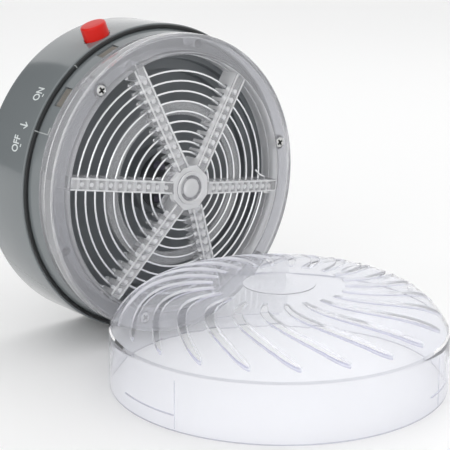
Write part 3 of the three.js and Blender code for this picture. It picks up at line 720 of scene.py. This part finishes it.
endFirst, endSecond = gridWire["ends"]
turnsFirst, turnsSecond = gridWire["turns"]
leadPoint = wirePoint(wireStarts[0], endFirst + gridWire["lead"])
firstPoints = spiralPoints(wireStarts[0], endFirst, turnsFirst) + [leadPoint]
secondPoints = spiralPoints(wireStarts[1], endSecond, turnsSecond) + tailPoints(endSecond)
makeWire("gridWireFirst", firstPoints, "grid_wire_a")
makeWire("gridWireSecond", secondPoints, "grid_wire_b")
print("grid wires made")

# Clear frame: ring with two walls, six deep spokes with notches, hub, bosses and middle ring
clearFrame = {
    **inMm(outer=76.7, inner=66, depth=11.5, innerDepth=12, wall=2.2, innerWall=2, taper=0.6, innerStep=0.4,
           outerRound=0.9, lip=0.7, lipFoot=1.4, lipTop=1, lipRound=0.35, spokeWidth=6.5, spokeDepth=12,
           spokeStart=4, spokeRound=0.35, notchGap=0.3, notchBend=0.5, railWidth=0.8, railRise=0.35,
           railInset=0.15, railSink=0.5, beadRadius=1.15, beadRise=0.3, beadFree=2, hubRadius=12,
           hubFront=9.5, hubThick=3, bossRadius=8.5, bossTop=11.2, bossRim=10.6, bossRimRound=0.6,
           bossRimWide=1.6, bossFloor=9.8, bossFloorInset=2, knobRadius=4.6, knobFoot=0.4, knobRound=2,
           ringInner=35.5, ringOuter=42.5, ringFront=-3, ringThick=2, screwBoss=3.9, headSeat=-2.2,
           cutOut=3, shankHole=1.8, pinCircle=71.8, pinRadius=2.2),
    "steps": 180, "spokes": 6, "spokeTurn": -8.5, "spokeRoundAngle": 30, "beadSides": 14, "hubSides": 8,
    "hubTurn": 22.5, "bossSteps": 64, "pinAngles": (79, 199, 319),
}
# Where the frame's two finishes with painted light start: bands beside its walls, and notches and flanks of
# its spokes
framePaintedLightBands = inMm(outer=1.2, inner=0.5, hub=0.1, dish=0.3, spokeEnd=0.2, notch=0.5, flank=0.05, proud=0.03)


def spokeFrontAt(radius):
    c = SimpleNamespace(**clearFrame)
    share = max(0, radius - c.hubRadius) / (c.inner - c.hubRadius)
    return c.hubFront * (1 - share)


def wireCrossings(angle):
    # the radii at which the two wires pass the spoke at this angle
    radii = []
    slack = 0.001
    for start, endAngle, turns in zip(wireStarts, gridWire["ends"], gridWire["turns"]):
        at = angle + 360
        while at >= endAngle - turns * 360 - slack:
            if at <= endAngle + slack:
                radii.append(wireRadiusAt(start, at))
            at -= 360
    return sorted(radii)


def spokeOutline(crossings):
    # a straight front, and a notch over each wire in the back
    c = SimpleNamespace(**clearFrame)
    half = c.spokeWidth / 2
    end = c.inner + c.innerStep
    bend = c.notchBend
    free = gridWire["radius"] + c.notchGap
    outline = [(c.spokeStart, c.hubFront), (c.spokeStart, c.hubFront - c.spokeDepth)]
    for radius in crossings:
        lean = half * 2 * gridWire["pitch"] / (tau * radius) + half * half / (2 * radius)
        low = radius - free - lean
        high = radius + free + lean
        roof = wireHeightAt(radius) + free
        outline += [(low, spokeFrontAt(low) - c.spokeDepth), (low, roof - bend), (low + bend, roof),
                    (high - bend, roof), (high, roof - bend), (high, spokeFrontAt(high) - c.spokeDepth)]
    return outline + [(end, spokeFrontAt(end) - c.spokeDepth), (end, spokeFrontAt(end)),
                      (c.hubRadius, c.hubFront)]


def makeSpoke(angle):
    c = SimpleNamespace(**clearFrame)
    crossings = wireCrossings(angle)
    spoke = slabPiece("spoke", spokeOutline(crossings), c.spokeWidth)
    soften(spoke, c.spokeRound, 2, c.spokeRoundAngle)
    # a rail along each edge of the front, with a chain of low beads between them over the notches
    first = c.hubRadius - c.railSink
    last = c.inner - edge["small"]
    rails = [(first, spokeFrontAt(first) - c.railSink), (last, spokeFrontAt(last) - c.railSink),
             (last, spokeFrontAt(last) + c.railRise), (first, spokeFrontAt(first) + c.railRise)]
    fronts = []
    for side in (-1, 1):
        rail = slabPiece("rail", rails, c.railWidth)
        rail.location = (0, side * (c.spokeWidth / 2 - c.railWidth / 2 - c.railInset), 0)
        applyAll(rail)
        fronts.append(rail)
    for radius in crossings:
        if first + c.beadFree < radius < last - c.beadFree:
            front = spokeFrontAt(radius)
            bead = cylinderPiece("bead", c.beadRadius, front - c.railSink, front + c.beadRise,
                                 c.beadSides)
            fronts.append(turned(bead, radius, 0))
    combine(spoke, joined("spokeFront", fronts), 'UNION')
    return turned(spoke, 0, angle)


def makeFrameRing():
    c = SimpleNamespace(**clearFrame)
    inner, outer = c.inner, c.outer
    behind = inner + c.innerWall
    behindOuter = outer - c.wall
    halfway = -c.depth / 2
    piece = spunPiece("clearFrameRing", roundOff([
        (inner - c.innerStep, -c.innerDepth, "fine"), (behind, -c.innerDepth, "fine"),
        (behind, -c.wall, "soft"), (behindOuter, -c.wall, "soft"),
        (behindOuter, -c.depth, "small"), (outer - c.taper, -c.depth, "small"),
        (outer, halfway - edge["small"], 0), (outer - edge["small"], halfway, 0),
        (outer, halfway + edge["small"], 0), (outer, 0, c.outerRound),
        (inner + c.lipFoot, 0, "fine"), (inner + c.lipTop, c.lip, "small"),
        (inner, c.lip, c.lipRound), (inner, -c.innerDepth / 2, 0),
        (inner - c.innerStep, -c.innerDepth / 2, "tiny")]), c.steps)
    back, front = -c.depth, -c.wall / 2
    for angle in screwPlace["angles"]:
        combineRound(piece, 'UNION', "screwBoss", c.screwBoss, back, front, screwPlace["circle"], angle)
    for angle in c.pinAngles:
        combineRound(piece, 'UNION', "locatingPin", c.pinRadius, back, front, c.pinCircle, angle)
    return piece


def makeHub():
    # the web with its spokes, the boss with a dished face and a low knob, and the middle ring
    c = SimpleNamespace(**clearFrame)
    hub = cylinderPiece("hubWeb", c.hubRadius, c.hubFront - c.hubThick, c.hubFront, c.hubSides)
    soften(hub, "soft")
    turned(hub, 0, c.hubTurn)
    back = c.hubFront - c.spokeDepth
    rimInner = c.bossRadius - c.bossRimWide
    floorOuter = c.bossRadius - c.bossFloorInset
    boss = spunPiece("hubBoss", roundOff([
        (0, back, 0), (c.bossRadius, back, "small"), (c.bossRadius, c.bossRim, c.bossRimRound),
        (rimInner, c.bossRim, "small"), (floorOuter, c.bossFloor, "fine"),
        (c.knobRadius + c.knobFoot, c.bossFloor, "fine"),
        (c.knobRadius, c.bossTop, c.knobRound), (0, c.bossTop, 0)], 6), c.bossSteps)
    ringBack = c.ringFront - c.ringThick
    ring = spunPiece("middleRing", roundOff([
        (c.ringInner, ringBack, "small"), (c.ringOuter, ringBack, "small"),
        (c.ringOuter, c.ringFront, "soft"), (c.ringInner, c.ringFront, "soft")]),
        c.steps)
    for i in range(c.spokes):
        combine(hub, makeSpoke(c.spokeTurn + i * 360 / c.spokes), 'UNION')
    combine(hub, boss, 'UNION')
    combine(hub, ring, 'UNION')
    return hub


def framePaintedLightAt(center):
    # 0 flange, 1 spokes and outer wall with painted light, as they gather more light, 2 rails, beads,
    # notches, hub, inner wall with a whiter painted highlight
    c = SimpleNamespace(**clearFrame)
    band = framePaintedLightBands
    x, z = center.x - axisX, center.z - axisZ
    radius, height = math.hypot(x, z), frontY - center.y
    half = 180 / c.spokes
    fromSpoke = (math.degrees(math.atan2(z, x)) - c.spokeTurn + half) % (2 * half) - half
    across = radius * math.sin(math.radians(fromSpoke))
    above = height - spokeFrontAt(radius)
    if radius > c.outer - band["outer"]:
        return 1
    if abs(radius - c.inner) < band["inner"] and height < c.lip - edge["tiny"]:
        return 2
    if radius < c.bossRadius + band["hub"]:
        dish = height < c.bossFloor + band["dish"] and c.knobRadius < radius
        return 0 if dish else 2
    if radius >= c.inner - band["spokeEnd"]:
        return 0
    notchInside = abs(across) < c.spokeWidth / 2 - band["notch"]
    notch = -c.spokeDepth + band["notch"] < above < -band["notch"] and notchInside
    flank = abs(across) > c.spokeWidth / 2 - band["flank"] and above > -c.spokeDepth / 2
    return 2 if above > band["proud"] or notch or flank else 1


def makeClearFrame():
    c = SimpleNamespace(**clearFrame)
    piece = makeFrameRing()
    combine(piece, makeHub(), 'UNION')
    holes = (("headHole", screwPlace["headHole"], c.headSeat, c.cutOut),
             ("shankHole", c.shankHole, -c.depth - mm, 0))
    for angle in screwPlace["angles"]:
        for hole in holes:
            combineRound(piece, 'DIFFERENCE', *hole, screwPlace["circle"], angle)
    finishPiece(piece, ["frameClear", "spokeClearPaintedLight", "spokeEdgePaintedHighlight"], "clear_plastic", "clear_frame")
    # each face takes the plain clear finish or one of its two copies with painted light
    for face in piece.data.polygons:
        face.material_index = framePaintedLightAt(face.center)


makeClearFrame()
print("clear frame made")

# Cross-head screws of the frame and of the back
crossScrew = {
    **inMm(head=2.8, headHigh=1.7, headRound=0.9, shank=1.5, slotLong=3.7, slotWide=1.05, slotDeep=1.4,
           slotEdge=0.05),
    "steps": 48, "turn": 3,
    "frame": (-0.2 * mm, 23.6 * mm, 1), "back": (-56.6 * mm, 11.3 * mm, -1),    # top, reach, facing
}


def makeScrew(name, node, degrees, top, reach, facing):
    s = SimpleNamespace(**crossScrew)
    piece = spunPiece(name, roundOff([
        (0, 0, 0), (s.head, 0, s.headRound), (s.head, -s.headHigh, "fine"),
        (s.shank, -s.headHigh, 0), (s.shank, -reach + s.shank, 0), (0, -reach, 0)], 5),
        s.steps)
    for long, wide in ((s.slotLong, s.slotWide), (s.slotWide, s.slotLong)):
        combine(piece, barPiece("crossSlot", span(0, long), wide, (-s.slotDeep, mm)), 'DIFFERENCE')
    recess = []
    for face in piece.data.polygons:
        deep = -s.slotDeep - edge["tiny"] < face.center.z < -edge["small"]
        if deep and math.hypot(face.center.x, face.center.y) < s.slotLong / 2 + s.slotEdge:
            recess.append(face.index)
    # each head stands turned its own way
    piece.rotation_euler = (0 if facing > 0 else math.pi, 0, math.radians(degrees * s.turn))
    applyAll(piece)
    piece.location = polarPoint(screwPlace["circle"], degrees, top)
    applyAll(piece)
    finishPiece(piece, ["screwSteel", "slotShade"], "steel", node)
    for index in recess:
        piece.data.polygons[index].material_index = 1


for i, angle in enumerate(screwPlace["angles"]):
    for side in ("frame", "back"):
        makeScrew(f"{side}Screw{i + 1}", f"{side}_screw_{i + 1}", angle, *crossScrew[side])
print("screws made")

# Red round push button with its two lugs
button = {
    **inMm(radius=6.6, top=87, bottom=75.3, round=1.1, crown=0.25, crownRound=1, lugTop=76.7, lugWide=16.8,
           lugLength=8),
    "steps": 96,
}


def makeButton():
    k = SimpleNamespace(**button)
    piece = alongButton(spunPiece("redButton", roundOff([
        (0, k.bottom, 0), (k.radius, k.bottom, "fine"),
        (k.radius, k.top - k.crown, k.round), (k.radius / 2, k.top, k.crownRound),
        (0, k.top, 0)], 6), k.steps))
    lugs = barPiece("buttonLugs", (k.bottom, k.lugTop), k.lugWide,
                    span(barrel["buttonMiddle"], k.lugLength))
    soften(lugs, "small")
    combine(piece, turned(lugs, 0, barrel["buttonAngle"]), 'UNION')
    finishPiece(piece, ["buttonRed"], "red_plastic", "push_button", body="button")


makeButton()
print("button made")

# Clear cover: wall, full dome with swept slots and raised rims, disc, tabs and seams
cover = {
    **inMm(radius=80, wall=1.5, wallHigh=26.8, high=46.7, shoulderRound=1.8, shoulderInside=1.6,
           insideRound=1.2, discRadius=17.1, discRise=0.3, discRound=0.35, domeWall=1, slotInner=31,
           slotOuter=76, slotInnerWidth=1.8, slotOuterWidth=5.4, slotCut=6, rimWidth=0.5, rimRise=0.25,
           rimInside=3, rimOutside=2, rimCut=4, tabHigh=6.5, tabThick=0.5, tabReach=0.6, wedgeReach=85,
           wedgeHigh=20, seamWide=0.35, seamRise=0.3, seamFoot=0.6, seamTop=4, seamGap=0.02),
    "steps": 176, "smoothAngle": 35, "domeFullness": 5.5, "domeSteps": 18, "slots": 22, "slotTurn": 5,
    "slotSweep": 34, "slotSteps": 15, "slotBelly": 0.75, "slotRound": 0.93, "slotTip": 1.03,
    "slotEndShares": (0.955, 0.975, 0.99, 1), "tabs": 3, "tabTurn": 180.7, "tabSpan": 25.5,
    "seamAngles": (194, 294),
}
# Where the cover's cut edges with painted highlights and its lines of painted shade lie, and how upright
# their faces are
coverPaintedLightBands = {
    **inMm(slotPast=1.6, slotBelow=2, shoulder=0.35, shoulderBelow=3, tabAbove=2, foot=0.5),
    "steep": 0.4, "shoulderLean": (0.2, 0.66), "footLean": 0.2,
}


def domeHeightAt(radius):
    # nearly flat round the disc, and steep just before the wall
    c = SimpleNamespace(**cover)
    share = max(0, radius - c.discRadius) / (c.radius - c.discRadius)
    return c.high - (c.high - c.wallHigh) * share ** c.domeFullness


def domePoint(radius, depth):
    # the point of the dome's wall that lies square below the outer surface
    step = 0.01 * mm
    slope = (domeHeightAt(radius + step) - domeHeightAt(radius - step)) / (2 * step)
    length = math.hypot(slope, 1)
    return (radius + slope * depth / length, domeHeightAt(radius) - depth / length)


def domeRadii(inner, outer):
    # from the outer radius to the inner one, closest together where the dome is steep
    steps = cover["domeSteps"]
    return [inner + (outer - inner) * math.sin(math.pi / 2 * (1 - k / steps)) for k in range(steps + 1)]


def slotOutline(grow):
    # a slot that sweeps sideways on its way out, widest near its rounded outer end
    c = SimpleNamespace(**cover)
    shares = [*(i / c.slotSteps for i in range(c.slotSteps)), *c.slotEndShares]
    sides = []
    for side in (-1, 1):
        points = []
        for share in shares:
            radius = c.slotInner - grow + (c.slotOuter - c.slotInner + 2 * grow) * share
            belly = math.sin(share * math.pi * c.slotBelly)
            closing = max(0, (share - c.slotRound) / (1 - c.slotRound))
            wide = c.slotInnerWidth + (c.slotOuterWidth - c.slotInnerWidth) * belly
            wide *= math.sqrt(c.slotTip - closing ** 2)
            angle = math.radians(c.slotSweep) * share ** 2 + side * (wide / 2 + grow) / radius
            points.append((radius * math.cos(angle), radius * math.sin(angle)))
        sides.append(points)
    return sides[0] + sides[1][::-1]


def makeCoverShell(inner):
    c = SimpleNamespace(**cover)
    disc = c.discRadius
    radii = domeRadii(disc, c.radius)[1:]
    outerDome = [(r, domeHeightAt(r), 0) for r in radii]
    innerDome = [(*domePoint(r, c.domeWall), 0) for r in reversed(radii)]
    discTop = c.high + c.discRise
    return spunPiece("slottedCoverShell", roundOff([
        (inner, 0, "soft"), (c.radius, 0, "round"),
        (c.radius, c.wallHigh, c.shoulderRound), *outerDome,
        (disc, discTop, c.discRound), (0, discTop + edge["tiny"], 0),
        (0, c.high - c.domeWall, 0), *innerDome,
        (inner, c.wallHigh - c.shoulderInside, c.insideRound)]), c.steps)


def slotRing(name, grow, past):
    # all the slots as one cutter that stands through the dome
    c = SimpleNamespace(**cover)
    slot = standingPrism("slot", slotOutline(grow), c.wallHigh - past, c.high + past)
    return repeatedRound(name, slot, [c.slotTurn + i * 360 / c.slots for i in range(c.slots)])


def makeTab(inner, degrees):
    c = SimpleNamespace(**cover)
    tip = inner - c.tabReach
    root = inner + c.wall / 2
    top = c.tabHigh + c.tabThick
    tab = spunPiece("coverTab", roundOff([
        (tip, c.tabHigh, "tiny"), (root, c.tabHigh, 0), (root, top, 0), (tip, top, "tiny")], 2),
        c.steps)
    reach = c.wedgeReach
    half = reach * math.tan(math.radians(c.tabSpan / 2))
    wedge = standingPrism("tabWedge", [(0, 0), (reach, -half), (reach, half)], 0, c.wedgeHigh)
    combine(tab, turned(wedge, 0, degrees), 'INTERSECT')
    return tab


def coverPaintedLightAt(face, inner):
    # 0 clear walls, 1 cut edges with a painted highlight where they catch the light, 2 thin lines of painted
    # shade at shoulder, foot and tabs
    c = SimpleNamespace(**cover)
    band = coverPaintedLightBands
    middle = face.center - Vector((coverX, coverY, 0))
    radius = math.hypot(middle.x, middle.y)
    lean = abs(face.normal.z)
    onSlots = c.discRadius - edge["soft"] < radius < c.slotOuter + band["slotPast"]
    if lean < band["steep"] and onSlots and middle.z > c.wallHigh - band["slotBelow"]:
        return 1
    leanLow, leanHigh = band["shoulderLean"]
    shoulder = radius > c.radius - band["shoulder"] and middle.z > c.wallHigh - band["shoulderBelow"]
    tab = radius < inner - c.seamGap and middle.z < c.tabHigh + band["tabAbove"]
    foot = middle.z < band["foot"] and lean > band["footLean"]
    return 2 if (leanLow < lean < leanHigh and shoulder) or tab or foot else 0


def makeCover():
    c = SimpleNamespace(**cover)
    inner = c.radius - c.wall
    piece = makeCoverShell(inner)
    # the rims are cut from a thin cap that follows the dome
    radii = domeRadii(c.slotInner - c.rimInside, c.slotOuter + c.rimOutside)
    top = [domePoint(r, -c.rimRise) for r in radii]
    bottom = [domePoint(r, edge["fine"]) for r in reversed(radii)]
    rims = spunPiece("slotRims", top + bottom, c.steps)
    combine(rims, slotRing("wideSlots", c.rimWidth, c.rimCut), 'INTERSECT')
    combine(piece, rims, 'UNION')
    combine(piece, slotRing("slotCutters", 0, c.slotCut), 'DIFFERENCE')
    for i in range(c.tabs):
        combine(piece, makeTab(inner, c.tabTurn + i * 360 / c.tabs), 'UNION')
    finishPiece(piece, ["coverClear", "coverEdgePaintedHighlight", "coverPaintedShadeLine"], "clear_plastic", "slotted_cover",
                body="cover", smooth=c.smoothAngle)
    # each face takes the plain clear finish, the painted highlight or the painted shade
    for face in piece.data.polygons:
        face.material_index = coverPaintedLightAt(face, inner)


def makeSeams():
    # two upright moulded lines inside the wall, darkened with painted shade
    c = SimpleNamespace(**cover)
    inner = c.radius - c.wall
    lines = []
    for angle in c.seamAngles:
        seam = barPiece("seam", (inner - c.seamRise, inner - c.seamGap), c.seamWide,
                        (c.seamFoot, c.wallHigh - c.seamTop))
        lines.append(turned(seam, 0, angle))
    finishPiece(joined("coverSeams", lines), ["coverPaintedShadeLine"], "clear_plastic", body="cover", smooth=0)


makeCover()
makeSeams()
print("cover made")

# Legend on the barrel: ON, an arrow and OFF, printed along the circumference
legend = {
    **inMm(size=6.6, lift=0.05, bold=0.13, thick=0.06),
    "narrow": 0.72, "high": 1.12, "words": (("ON", 142, -29.4 * mm), ("OFF", 161, -31.1 * mm)),
    "arrowPlace": (154.1, -29.4 * mm),
    "arrow": ((0.36, 3.4), (0.36, -2.1), (1.4, -0.5), (1.95, -0.95), (0, -3.8), (-1.95, -0.95), (-1.4, -0.5),
              (-0.36, -2.1), (-0.36, 3.4)),
    "ticks": ((142.2, -25.2 * mm), (161.3, -26.9 * mm)),
    "tick": ((0.75, 0.4), (0.75, -0.4), (-0.75, -0.4), (-0.75, 0.4)),
}


def printOnBarrel(piece, degrees, depth):
    # x of the flat drawing runs up round the barrel and y runs towards the back
    radius = barrel["radius"] + legend["lift"]
    for vertex in piece.data.vertices:
        angle = math.radians(degrees) - vertex.co.x / radius
        out = radius + vertex.co.z
        vertex.co = (out * math.cos(angle), out * math.sin(angle), depth - vertex.co.y)
    finishPiece(piece, ["legendGrey"], "white_plastic", smooth=0)


def makeWord(word, degrees, depth):
    deselectAll()
    bpy.ops.object.text_add(location=(0, 0, 0))
    text = bpy.context.object.data
    text.body = word
    text.size = legend["size"]
    text.align_x = 'CENTER'
    text.align_y = 'CENTER'
    text.extrude = legend["thick"] / 2
    text.offset = legend["bold"]
    bpy.ops.object.convert(target='MESH')
    piece = bpy.context.object
    piece.name = "legend" + word.capitalize()
    bpy.ops.object.mode_set(mode='EDIT')
    selectMesh()
    bpy.ops.mesh.remove_doubles(threshold=weld["shell"])
    bpy.ops.mesh.subdivide(number_cuts=1)
    bpy.ops.object.mode_set(mode='OBJECT')
    piece.scale = (legend["narrow"], legend["high"], 1)
    applyAll(piece)
    printOnBarrel(piece, degrees, depth)


def makeMark(name, outline, degrees, depth):
    half = legend["thick"] / 2
    piece = standingPrism(name, [(x * mm, y * mm) for x, y in outline], -half, half)
    printOnBarrel(piece, degrees, depth)


for word, degrees, depth in legend["words"]:
    makeWord(word, degrees, depth)
makeMark("legendArrow", legend["arrow"], *legend["arrowPlace"])
for i, place in enumerate(legend["ticks"]):
    makeMark(f"legendTick{i + 1}", legend["tick"], *place)
print("legend made")

# Floor and light
studio = {
    "floorSize": 6.0, "floorColor": 0.93, "floorRough": 0.6, "lampAim": (0, 0, 0.06), "lampSize": 0.9,
    "keyPower": 1.8, "keyPlace": (0.75, 0.35, 1.05), "fillPower": 3.2, "fillPlace": (-1.0, -0.55, 0.4),
    "wallToward": (-0.45, 0.84, 0.3), "wallEdge": 0.875, "wallDark": 0.95,
}


def makeFloor():
    material = bpy.data.materials.new("floorPale")
    material.use_nodes = True
    shade = studio["floorColor"]
    setSockets(material.node_tree.nodes['Principled BSDF'],
               {"Base Color": (shade, shade, shade, 1), "Roughness": studio["floorRough"]})
    deselectAll()
    bpy.ops.mesh.primitive_plane_add(size=studio["floorSize"], location=(0, 0, 0))
    floor = bpy.context.object
    floor.name = "floor"
    floor.data.materials.append(material)


def lightWorld():
    # white where it is seen, with one darker wall that only gloss and the light on the object pick up
    world = bpy.context.scene.world or bpy.data.worlds.new("studioWorld")
    bpy.context.scene.world = world
    world.use_nodes = True
    tree = world.node_tree
    add = tree.nodes.new
    backdrop = tree.nodes['Background']
    backdrop.inputs['Color'].default_value = (1, 1, 1, 1)

    def worldMath(operation, first, second):
        # a Math node whose two inputs are sockets or numbers
        node = add('ShaderNodeMath')
        node.operation = operation
        for socket, value in zip(node.inputs, (first, second)):
            if isinstance(value, bpy.types.NodeSocket):
                tree.links.new(value, socket)
            else:
                socket.default_value = value
        return node.outputs['Value']

    path = add('ShaderNodeLightPath')
    place = add('ShaderNodeTexCoord')
    toward = add('ShaderNodeVectorMath')
    toward.operation = 'DOT_PRODUCT'
    toward.inputs[1].default_value = Vector(studio["wallToward"]).normalized()
    tree.links.new(place.outputs['Generated'], toward.inputs[0])
    seen = worldMath('MAXIMUM', path.outputs['Is Camera Ray'], path.outputs['Is Transmission Ray'])
    wall = worldMath('GREATER_THAN', toward.outputs['Value'], studio["wallEdge"])
    hidden = worldMath('MULTIPLY', wall, worldMath('SUBTRACT', 1, seen))
    shade = worldMath('SUBTRACT', 1, worldMath('MULTIPLY', hidden, studio["wallDark"]))
    tree.links.new(shade, backdrop.inputs['Strength'])


def addLamp(name, place, power):
    lamp = bpy.data.lights.new(name, 'AREA')
    lamp.energy = power
    lamp.size = studio["lampSize"]
    piece = bpy.data.objects.new(name, lamp)
    piece.location = place
    piece.rotation_euler = (Vector(studio["lampAim"]) - Vector(place)).to_track_quat('-Z', 'Y').to_euler()
    bpy.context.collection.objects.link(piece)


makeFloor()
lightWorld()
for lampName in ("key", "fill"):
    addLamp(lampName + "Lamp", studio[lampName + "Place"], studio[lampName + "Power"])
print("studio made")
